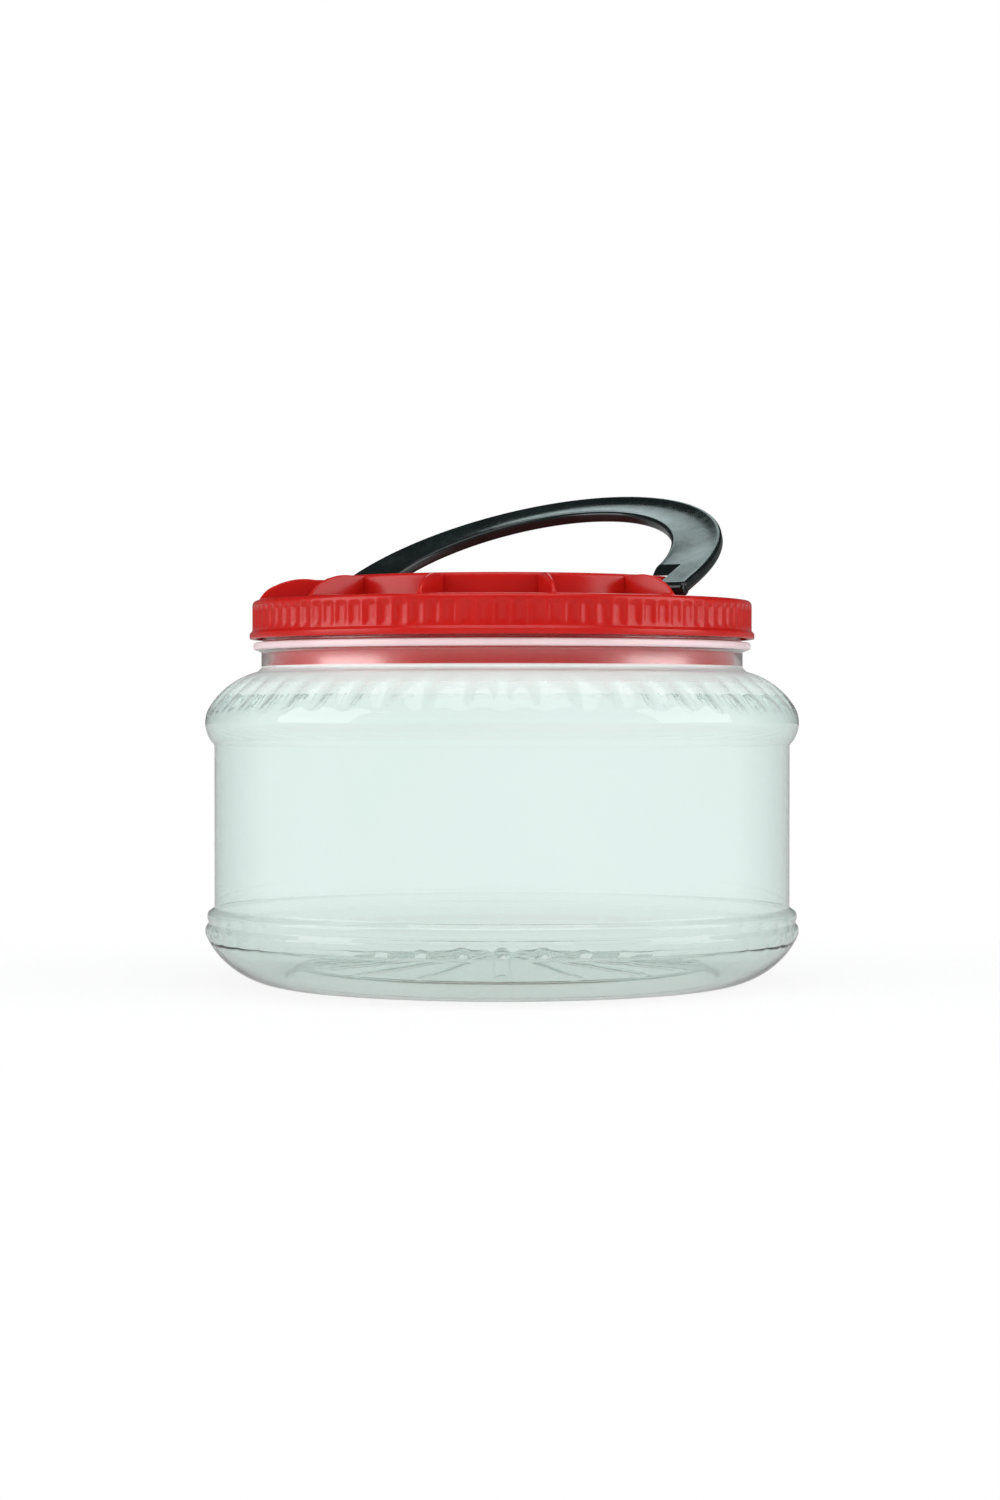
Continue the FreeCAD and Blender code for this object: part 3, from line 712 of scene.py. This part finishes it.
def finish_neck(jar):
    """The glossier neck, the support ring painted pale pink as its highlight and the lid's red light, and the
    haze that thins out down the shoulder.
    """
    for material in (NECK, RING_PAINTED_LIGHT, *HAZES):
        jar.data.materials.append(material)
    ring_foot, ring_top, ring_in = RING_PAINTED_ZONE
    for face in jar.data.polygons:
        x, y, z = face.center / MM
        outward = face.normal.x * x + face.normal.y * y > 0
        if ring_foot < z < ring_top and math.hypot(x, y) > ring_in:
            face.material_index = SLOT_RING
        elif z > NECK_FINISH_Z:
            face.material_index = SLOT_NECK if outward else SLOT_CLEAR
        elif z > HAZE_ALL_ROUND_Z or face.normal.z > 0:
            steps = [step for step, (foot, _, _) in enumerate(HAZE_STEPS) if z > foot]
            if steps:
                face.material_index = SLOT_HAZE + steps[0]


def thread(name, radius, side, start_z, proud, start_turn):
    """A screw thread ridge that tapers away at both ends, on the outside (1) or inside (-1)."""
    steps = int(THREAD_TURNS * THREAD_STEPS)
    points = []
    for step in range(steps + 1):
        t = step / steps
        angle = start_turn + TAU * THREAD_TURNS * t
        from_ends = min(t, 1 - t) * THREAD_TURNS
        grow = ease(min(1.0, from_ends * THREAD_TAPER))
        middle = start_z + LEAD * THREAD_TURNS * t
        width = THREAD_WIDTH * (THREAD_NARROW + (1 - THREAD_NARROW) * grow)
        for out, up in THREAD_SECTION:
            r = radius + side * proud * (out * grow if out > 0 else out)
            points.append((r * math.cos(angle), r * math.sin(angle), middle + width * up))
    return tube(name, points, len(THREAD_SECTION))


# ---------------------------------------------------------------- lid

def lid_outline():
    """The lid's closed section: up the skirt, over the ledge and disc, and back beneath."""
    points = [
        (SKIRT_IN, SKIRT_SEAM, 0.0), (SKIRT_IN, SKIRT_FOOT, 0.3), (BRIM_R, SKIRT_FOOT, 0.35),
        (BRIM_R, BRIM_TOP, 0.4), (SKIRT_R, BRIM_TOP + CORNER, 0.4), (SKIRT_R, LEDGE_Z, 1.7),
        (DISC_R + 0.1, LEDGE_Z, 0.8), (DISC_R - 0.5, DISC_TOP, 1.5), (RECESS_R, DISC_TOP, 0.4),
        (RECESS_R - CORNER, DISC_TOP - RECESS_DEEP, 0.6), (CENTRE_R, DISC_TOP - RECESS_DEEP, 0.0),
        (CENTRE_R, DISC_TOP - DISC_UNDER, 0.0), (DISC_IN - 0.5, DISC_TOP - DISC_UNDER, 0.8),
        (DISC_IN, SEAT_Z, 0.5), (PLUG_IN, SEAT_Z, 0.4), (PLUG_IN, PLUG_FOOT, 0.3),
        (PLUG_R - CORNER, PLUG_FOOT, 0.4), (PLUG_R, PLUG_FOOT + CORNER, 0.4), (PLUG_R, SEAT_Z, 0.3),
        (SKIRT_IN, SEAT_Z, 0.4), (SKIRT_IN, SKIRT_SEAM, 0.0),
    ]
    return resample(fillet(points), LID_STEP, lambda p: abs(p[0] - SKIRT_R) < 0.01)


def knurl_depth(outline, angles):
    """The grooves between the skirt's knurls."""
    r, z = outline[:, :1], outline[:, 1:]
    across = soft_edge(GROOVE_HALF - np.abs(nearest(angles, KNURLS)) / (TAU / KNURLS), GROOVE_EDGE)
    window = soft_edge(z - KNURL_FOOT_Z, KNURL_FADE) * soft_edge(KNURL_TOP_Z - z, KNURL_FADE)
    return KNURL_DEEP * across * window * (np.abs(r - SKIRT_R) < 0.3)


def build_lid_shell():
    """The lid's turned body with its knurled skirt."""
    vertices, faces = turned(lid_outline(), KNURLS * KNURL_COLUMNS, knurl_depth)
    return make_object("lid_shell", vertices, faces)


def line_lid(lid):
    """The plug and the underside have the inner finish. Its brighter red is painted light."""
    lid.data.materials.append(RED_INSIDE_PAINTED_LIGHT)
    for face in lid.data.polygons:
        x, y, z = face.center / MM
        r = math.hypot(x, y)
        outward = (face.normal.x * x + face.normal.y * y) / r
        under = r < LID_LINING[0] and z < LID_LINING[1] and min(face.normal.z, outward) < FACES_IN
        if under or (r < PLUG_LINING and z < SKIRT_FOOT):
            face.material_index = 1


def fin_section(height):
    """Half of a fin's cross-section as (out, up), from its foot's fillet to its rounded crest."""
    half = FIN_THICK / 2
    points = []
    for step in range(5):
        angle = math.radians(90 * step / 4)
        points.append((half + FIN_FOOT * (1 - math.sin(angle)), min(FIN_FOOT * (1 - math.cos(angle)), height)))
    for out, up in bend(0.0, height - half, half, 0, 90, 5)[1:]:
        points.append((out, max(up, points[-1][1])))
    return points


def build_fin(azimuth):
    """A grip fin that rises from the ledge's rim to the disc."""
    sweep = FIN_REACH - FIN_CREST
    rise = DISC_TOP - RECESS_DEEP - LEDGE_Z
    knee = (FIN_CREST + sweep * FIN_KNEE[0], rise * FIN_KNEE[1])
    crest = arc((FIN_REACH, 0.0), knee, sweep * FIN_ARCS[0], -1, FIN_ARC_STEPS)
    crest += arc(knee, (FIN_CREST, rise), sweep * FIN_ARCS[1], -1, FIN_ARC_STEPS)[1:]
    crest += [(r, rise, 0) for r in FIN_ROOT]
    points = []
    for r, up, _ in crest:
        half = fin_section(max(up, FIN_LEAST))
        foot = half[0][0]
        loop = [(foot, FIN_SUNK)] + half + [(-out, h) for out, h in reversed(half[:-1])] + [(-foot, FIN_SUNK)]
        points += [(r, out, LEDGE_Z + h) for out, h in loop]
    return tube("fin", turn_about_z(np.array(points), azimuth - 90), len(loop))


def build_bosses():
    """The socket bosses in the raised disc, and the collar where each peg goes in."""
    parts = []
    for side in (1, -1):
        vertices, faces = turned(np.array(BOSS_OUTLINE), BOSS_COLUMNS)
        place = along_x(vertices, side)
        place[:, 2] += PIVOT_Z
        parts.append(make_object("boss", turn_about_z(place, HANDLE_TURN), faces))
    return join("lid_bosses", parts)


# ---------------------------------------------------------------- handle

def handle_place(points):
    """Takes points of the strap's own plane (u, v, thickness) to the frame."""
    tilt = math.radians(HANDLE_TILT)
    u, v, w = points[:, 0], points[:, 1], points[:, 2]
    y = v * math.cos(tilt) - w * math.sin(tilt)
    z = v * math.sin(tilt) + w * math.cos(tilt) + PIVOT_Z
    return turn_about_z(np.stack([u, y, z], axis=1), HANDLE_TURN)


def strap_section(width, trough):
    """A rounded bar with a shallow trough along its upper face, as (across, up)."""
    half = STRAP_THICK / 2
    points = bend(STRAP_EDGE, STRAP_EDGE - half, STRAP_EDGE, 180, 90, 5)
    points += bend(width - STRAP_EDGE, STRAP_EDGE - half, STRAP_EDGE, 270, 90, 5)
    points += bend(width - STRAP_LIP, half - STRAP_LIP, STRAP_LIP, 0, 100, 7)
    rim, rim_down = TROUGH_RIM
    reach = width / 2 - STRAP_LIP - rim
    for step in range(17):
        across = 1 - 2 * step / 16
        points.append((width / 2 + reach * across, half - rim_down - trough * (1 - across ** 2) ** TROUGH_POWER))
    points += bend(STRAP_LIP, half - STRAP_LIP, STRAP_LIP, 80, 100, 7)
    return points


def strap_stations():
    """Cross lines of the strap from foot to foot: inner (u, v), outer (u, v) and the trough's depth."""
    def lean(height, rise, radius):
        """The angle on a bow of this radius, risen by this much, at this height."""
        return math.asin(max(0.0, height - rise) / radius)

    lines = []
    for step in range(LEG_STEPS):
        high = LEG_TALL * step / LEG_STEPS
        inner = lean(high, INNER_RISE, STRAP_INNER)
        outer = lean(high, OUTER_RISE, STRAP_OUTER)
        lines.append((STRAP_INNER * math.cos(inner), high, STRAP_OUTER * math.cos(outer), high, 0.0))
    inner_foot = lean(LEG_TALL, INNER_RISE, STRAP_INNER)
    outer_foot = lean(LEG_TALL, OUTER_RISE, STRAP_OUTER)
    for step in range(BOW_STEPS + 1):
        share = step / BOW_STEPS
        inner = inner_foot + (math.pi / 2 - inner_foot) * share
        outer = outer_foot + (math.pi / 2 - outer_foot) * share
        lines.append((
            STRAP_INNER * math.cos(inner), INNER_RISE + STRAP_INNER * math.sin(inner),
            STRAP_OUTER * math.cos(outer), OUTER_RISE + STRAP_OUTER * math.sin(outer),
            TROUGH_DEEP * ease(min(1.0, share / TROUGH_FADE)),
        ))
    return lines + [(-iu, iv, -ou, ov, deep) for iu, iv, ou, ov, deep in lines[-2::-1]]


def cut_rest_notch(strap):
    """Clears the raised disc: between the ears the strap ends in two sloping resting faces."""
    deep = STRAP_THICK * NOTCH_OVER
    mouth = REST_EDGE + deep / math.tan(math.radians(HANDLE_TILT))
    side = [(NOTCH_BACK, -deep), (mouth, -deep), (REST_EDGE, 0.0), (mouth, deep), (NOTCH_BACK, deep)]
    count = len(side)
    vertices = [(u, v, w) for u in (-EAR_INNER, EAR_INNER) for v, w in side]
    faces = [tuple(range(count)), tuple(range(2 * count - 1, count - 1, -1))]
    faces += [(i, (i + 1) % count, (i + 1) % count + count, i + count) for i in range(count)]
    cutter = make_object("notch", vertices, faces)
    cut = strap.modifiers.new("notch", "BOOLEAN")
    cut.operation = "DIFFERENCE"
    cut.solver = "EXACT"
    cut.object = cutter
    round_off = strap.modifiers.new("edges", "BEVEL")
    round_off.limit_method = "ANGLE"
    round_off.angle_limit = math.radians(50)
    round_off.width = NOTCH_ROUND * MM
    round_off.segments = 3
    bpy.context.view_layer.update()
    made = bpy.data.meshes.new_from_object(strap.evaluated_get(bpy.context.evaluated_depsgraph_get()))
    strap.modifiers.clear()
    strap.data = made
    bpy.data.objects.remove(cutter)
    return strap


def build_strap():
    """The bow-shaped strap with its rest notch, in its place on the lid."""
    points = []
    for iu, iv, ou, ov, trough in strap_stations():
        inner = Vector((iu, iv))
        outer = Vector((ou, ov))
        width = (outer - inner).length
        along = (outer - inner) / width
        section = strap_section(width, trough)
        for across, up in section:
            point = inner + along * across
            points.append((point.x, point.y, up))
    strap = cut_rest_notch(tube("strap", points, len(section)))
    local = np.array([tuple(v.co) for v in strap.data.vertices]) / MM
    strap.data.vertices.foreach_set("co", (handle_place(local) * MM).ravel())
    strap.data.set_sharp_from_angle(angle=math.radians(40))
    return strap


def build_pin(name, side, radius, reach, rounds, steps, spacing, columns):
    """A turned pin on the handle's axis, from and to the reach, with rounded inner and outer corners."""
    start, end = reach
    outline = [(AXIS_R, start, 0), (radius, start, rounds[0]), (radius, end, rounds[1]), (AXIS_R, end, 0)]
    vertices, faces = turned(resample(fillet(outline, steps=steps), spacing), columns)
    return make_object(name, handle_place(along_x(vertices, side)), faces)


def build_handle():
    """The strap with its two hubs, and the pegs that go into the lid's sockets."""
    parts = [build_strap()]
    for side in (1, -1):
        parts.append(build_pin("hub", side, HUB_R, HUB_REACH, (0.5, 0.8), steps=5, spacing=1.2, columns=48))
        parts.append(build_pin("peg", side, PEG_R, PEG_REACH, (0.4, 0), steps=4, spacing=1.5, columns=40))
    return join("handle_strap", parts)


def build_seal():
    """The foam washer between rim and lid."""
    outline = [
        (SEAL_SEAM, SEAL_FOOT, 0), (SEAL_OUT, SEAL_FOOT, SEAL_ROUND), (SEAL_OUT, SEAL_TOP, SEAL_ROUND),
        (SEAL_IN, SEAL_TOP, SEAL_ROUND), (SEAL_IN, SEAL_FOOT, SEAL_ROUND), (SEAL_SEAM, SEAL_FOOT, 0),
    ]
    vertices, faces = turned(resample(fillet(outline), 1.0), SEAL_COLUMNS)
    return make_object("seal_liner", vertices, faces)


# ---------------------------------------------------------------- the part

CLEAR = clear_material()
NECK = neck_material()
# The support ring: mostly diffuse and painted pale pink, as a painted highlight on its round edge and painted
# red light from the lid.
RING_PAINTED_LIGHT = milky_material("ring_painted_light", 0.20, (0.93, 0.73, 0.75), (0.98, 0.80, 0.82), (0.30, 0.42))
HAZES = [milky_material(f"haze_{step}", clearness, (0.92, 0.97, 0.95), (0.97, 0.99, 0.98), roughness)
         for step, (_, clearness, roughness) in enumerate(HAZE_STEPS, 1)]
RED = red_material()
# The inside red is painted brighter than the outside's: painted light on the plug seen through the neck.
RED_INSIDE_PAINTED_LIGHT = inner_red_painted_light_material()
BLACK = black_material()
FOAM = foam_material()


def dress(obj, material, body, slot, *nodes):
    """Gives a piece its material and its body, and hides the nodes that it replaces. The slot is not used."""
    obj.data.materials.clear()
    obj.data.materials.append(material)
    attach(obj, body)
    if nodes:
        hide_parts(*nodes)


jar = build_jar()
jar.visible_shadow = False
dress(jar, CLEAR, "jar", "clear_pet", "jar")
finish_neck(jar)
jar_thread = thread("jar_thread", NECK_R, 1, JAR_THREAD_Z, JAR_THREAD_PROUD, THREAD_START)
dress(jar_thread, CLEAR, "jar", "clear_pet")
lid = build_lid_shell()
dress(lid, RED, "lid", "red_lid", "lid")
line_lid(lid)
dress(join("lid_fins", [build_fin(azimuth) for azimuth in FIN_AZIMUTHS]), RED, "lid", "red_lid")
dress(build_bosses(), RED, "lid", "red_lid")
lid_thread = thread("lid_thread", SKIRT_IN + 0.05, -1, LID_THREAD_Z, LID_THREAD_PROUD, THREAD_START + math.pi)
dress(lid_thread, RED, "lid", "red_lid")
dress(build_handle(), BLACK, "handle", "black_handle", "handle")
dress(build_seal(), FOAM, "seal", "seal_foam", "seal_ring")
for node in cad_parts.values():
    node.data.materials.clear()
    node.data.materials.append({"jar": CLEAR, "lid": RED, "handle": BLACK}.get(node.name, FOAM))


# ---------------------------------------------------------------- stage, light and camera

def make_floor():
    """A floor that glows white to the camera and keeps the shadows near the part."""
    mesh = bpy.data.meshes.new("floor")
    corners = [(x * FLOOR_HALF, y * FLOOR_HALF, 0) for x, y in ((-1, -1), (1, -1), (1, 1), (-1, 1))]
    mesh.from_pydata(corners, [], [(0, 1, 2, 3)])
    obj = bpy.data.objects.new("floor", mesh)
    obj.location.z = FLOOR_Z
    bpy.context.scene.collection.objects.link(obj)
    material, tree, shader = new_material("pale_floor")
    set_inputs(shader, Base_Color=(0.92, 0.92, 0.92, 1), Roughness=0.9, Specular_IOR_Level=0.0)
    path = tree.nodes.new("ShaderNodeLightPath").outputs
    mirrored = maths(tree, "SUBTRACT", path["Is Glossy Ray"], path["Is Transmission Ray"], clamp=True)
    glow = tree.nodes.new("ShaderNodeEmission")
    tree.links.new(map_range(tree, mirrored, (0.0, 1.0), (1.0, 0.50)), glow.inputs["Strength"])
    place = tree.nodes.new("ShaderNodeTexCoord")
    away = tree.nodes.new("ShaderNodeVectorMath")
    away.operation = "LENGTH"
    tree.links.new(place.outputs["Object"], away.inputs[0])
    fade = map_range(tree, away.outputs["Value"], (0.07, 0.26), (0.70, 1.0))
    seen = maths(tree, "MAXIMUM", path["Is Camera Ray"], path["Is Glossy Ray"])
    seen = maths(tree, "MAXIMUM", seen, path["Is Transmission Ray"])
    share = maths(tree, "MULTIPLY", seen, fade)
    mixed = mix_shader(tree, share, shader.outputs["BSDF"], glow.outputs["Emission"])
    tree.links.new(mixed, tree.nodes["Material Output"].inputs["Surface"])
    mesh.materials.append(material)


def make_world():
    """White to the camera and through clear plastic. Glossy surfaces see a room that is dark in front,
    above and behind. Everything else gets a dim fill."""
    world = bpy.data.worlds.new("studio")
    bpy.context.scene.world = world
    world.use_nodes = True
    tree = world.node_tree
    fill = set_inputs(tree.nodes["Background"], Color=(0.93, 0.97, 1.0, 1), Strength=0.42)
    white = set_inputs(tree.nodes.new("ShaderNodeBackground"), Color=(1, 1, 1, 1))
    glossy = tree.nodes.new("ShaderNodeBackground")
    axes = split_axes(tree, tree.nodes.new("ShaderNodeTexCoord").outputs["Generated"])
    front = map_range(tree, axes["Y"], (-0.80, -0.45), (0.10, 1.0), smooth=True)
    above = map_range(tree, axes["Z"], (0.12, 0.40), (1.0, 0.07), smooth=True)
    behind = map_range(tree, axes["Y"], (-0.05, 0.45), (1.0, 0.22), smooth=True)
    room = maths(tree, "MULTIPLY", maths(tree, "MULTIPLY", front, behind), above)
    tree.links.new(room, glossy.inputs["Strength"])
    path = tree.nodes.new("ShaderNodeLightPath").outputs
    seen = maths(tree, "ADD", path["Is Camera Ray"], path["Transmission Depth"], clamp=True)
    lit = mix_shader(tree, path["Is Glossy Ray"], fill.outputs["Background"], glossy.outputs["Background"])
    whole = mix_shader(tree, seen, lit, white.outputs["Background"])
    tree.links.new(whole, tree.nodes["World Output"].inputs["Surface"])


def area_light(name, place, target, size, power, colour=(1, 1, 1)):
    """A lamp that isn't seen through the clear plastic."""
    data = bpy.data.lights.new(name, "AREA")
    data.shape = "RECTANGLE"
    data.size, data.size_y = size
    data.energy = power
    data.color = colour
    obj = bpy.data.objects.new(name, data)
    obj.visible_transmission = False
    obj.location = place
    obj.rotation_euler = (Vector(target) - Vector(place)).to_track_quat("-Z", "Y").to_euler()
    bpy.context.scene.collection.objects.link(obj)
    return obj


def make_camera():
    """The photo's camera: level with the jar's middle, looking down a little."""
    data = bpy.data.cameras.new("camera")
    data.sensor_fit = "VERTICAL"
    data.sensor_height = 36.0
    data.lens = CAMERA_LENS
    data.clip_start = 0.01
    camera = bpy.data.objects.new("camera", data)
    camera.location = CAMERA_PLACE
    camera.rotation_euler = (math.radians(90 - CAMERA_DOWN), 0, 0)
    bpy.context.scene.collection.objects.link(camera)
    bpy.context.scene.camera = camera


make_floor()
make_world()
area_light("left_box", (-1.1, -0.30, 0.53), (0, 0, 0.08), (0.8, 0.9), 7.5)
area_light("right_box", (1.1, -0.25, 0.53), (0, 0, 0.08), (0.8, 0.9), 6.5)
area_light("top_box", (0.0, -0.35, 1.2), (0, 0, 0.1), (1.0, 0.8), 5.0)
area_light("front_box", (0.0, -1.4, 0.12), (0, 0, 0.09), (1.2, 0.4), 6.5).visible_glossy = False
area_light("back_box", (0.07, 0.72, 0.62), (0.05, 0, 0.135), (0.34, 0.34), 0.6, (0.82, 1.0, 1.0))
make_camera()
bpy.context.scene.view_settings.view_transform = "Standard"

bpy.context.view_layer.update()
